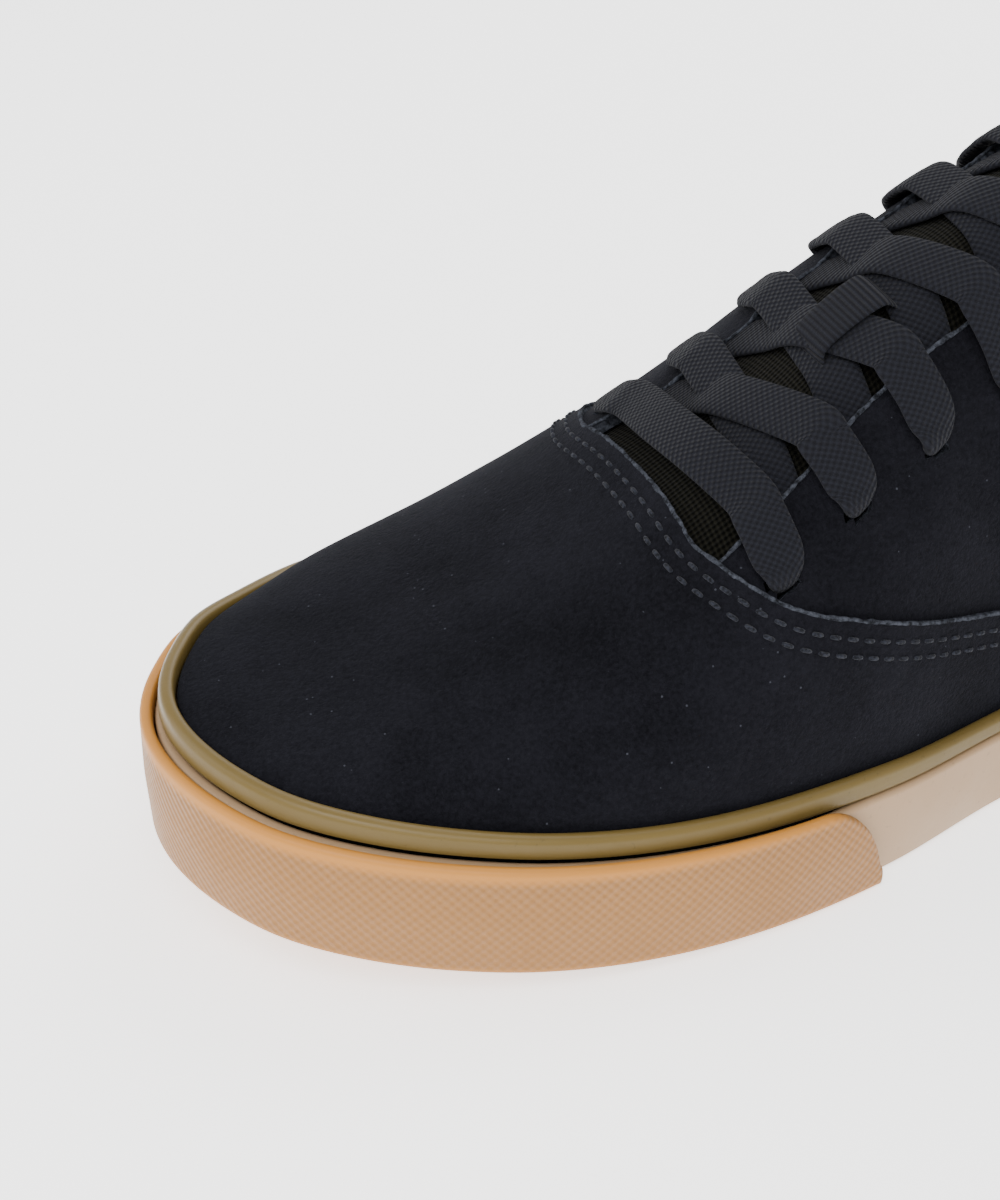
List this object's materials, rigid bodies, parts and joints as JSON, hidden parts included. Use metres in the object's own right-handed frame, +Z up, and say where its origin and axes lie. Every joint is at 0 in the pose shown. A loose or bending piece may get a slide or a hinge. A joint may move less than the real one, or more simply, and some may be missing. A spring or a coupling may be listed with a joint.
{
  "type": "skateboarding shoe",
  "caption": "Low right skateboarding shoe: hollow suede upper, padded canvas tongue, flat crossed laces and a flat gum sole with stacked tapes and a toe bumper.",
  "frame": {"origin": "middle of the footprint's bounding box, on the floor under the sole", "axes": "+X along the shoe to the toe, +Y to the wearer's left (the inner side of this right shoe), +Z up"},
  "size_m": [0.294, 0.0996, 0.1176],
  "materials": {
    "gum": "soft satin, fine cross-hatch on the toe bumper",
    "pale_gum": "satin",
    "khaki_gum": "satin",
    "suede": "napped",
    "canvas": "plain weave",
    "lace": "flat woven"
  },
  "bodies": {
    "root": {"outsole": "gum", "foxing_lower": "pale_gum", "foxing_upper": "khaki_gum", "toe_bumper": "gum", "upper": "suede", "backstay": "suede", "tongue": "canvas", "insole": "canvas", "lace_keeper": "lace", "lace_bar": "lace", "lace_cross_1": "lace", "lace_cross_2": "lace", "lace_cross_3": "lace", "lace_cross_4": "lace", "lace_cross_5": "lace", "lace_cross_6": "lace"}
  },
  "joints": []
}
